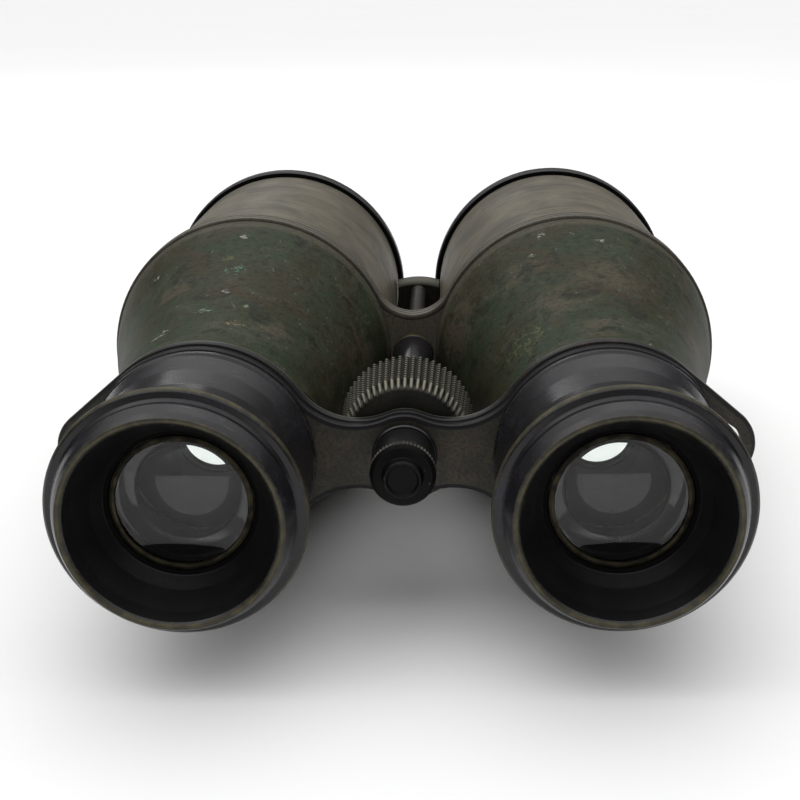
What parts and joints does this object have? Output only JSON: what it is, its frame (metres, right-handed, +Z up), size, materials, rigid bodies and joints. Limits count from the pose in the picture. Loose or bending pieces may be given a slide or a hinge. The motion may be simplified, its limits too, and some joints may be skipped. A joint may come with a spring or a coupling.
{
  "type": "field glass",
  "caption": "Antique twin-barrel brass field glass with flared eyecups, a knurled centre focusing wheel and a sliding eyepiece bridge.",
  "frame": {"origin": "under the middle of the glass, on the plane it lies on", "axes": "+Y along the optical axes, from the eyecups towards the objectives; +Z up; +X to the right of a person looking through it"},
  "size_m": [0.1204, 0.1466, 0.0563],
  "materials": {
    "black_lacquer": "glossy black lacquer on brass, worn at the edges",
    "dark_brass": "darkened brass, satin",
    "green_paint": "mottled grey-green paint with brown patches",
    "brown_metal": "browned brass, brushed round the tube",
    "worn_brass": "bare dull brass",
    "steel": "satin",
    "glass": "polished, uncoated"
  },
  "bodies": {
    "frame": {"rear_plate": "dark_brass", "middle_bridge": "dark_brass", "front_bridge": "dark_brass", "tie_rod": "dark_brass", "hub_column": "black_lacquer", "left_barrel_shell": "green_paint", "right_barrel_shell": "green_paint", "left_guide_sleeve": "dark_brass", "right_guide_sleeve": "dark_brass", "left_front_tube": "brown_metal", "right_front_tube": "brown_metal", "left_objective_rim": "black_lacquer", "right_objective_rim": "black_lacquer", "left_objective_lens": "glass", "right_objective_lens": "glass", "left_objective_retainer": "black_lacquer", "right_objective_retainer": "black_lacquer"},
    "wheel": {"focus_wheel": "dark_brass", "wheel_bush": "worn_brass"},
    "eyepieces": {"eyepiece_bridge": "dark_brass", "spindle": "steel", "spindle_knob": "black_lacquer", "knob_washer": "dark_brass", "left_draw_tube": "worn_brass", "right_draw_tube": "worn_brass", "left_eyecup": "black_lacquer", "right_eyecup": "black_lacquer", "left_eye_lens_ring": "worn_brass", "right_eye_lens_ring": "worn_brass", "left_eye_lens": "glass", "right_eye_lens": "glass"}
  },
  "joints": [
    {"name": "eyepiece_slide", "type": "slide", "parent": "frame", "child": "eyepieces", "axis": [0, -1, 0], "range_m": [0, 0.016]},
    {"name": "wheel_turn", "type": "hinge", "parent": "frame", "child": "wheel", "pos_m": [0, -0.03617, 0.02875], "axis": [0, -1, 0], "range_deg": [0, 480.5]}
  ],
  "couplings": [
    {"joint": "wheel_turn", "follows": "eyepiece_slide", "rad_per_m": 523.6}
  ]
}
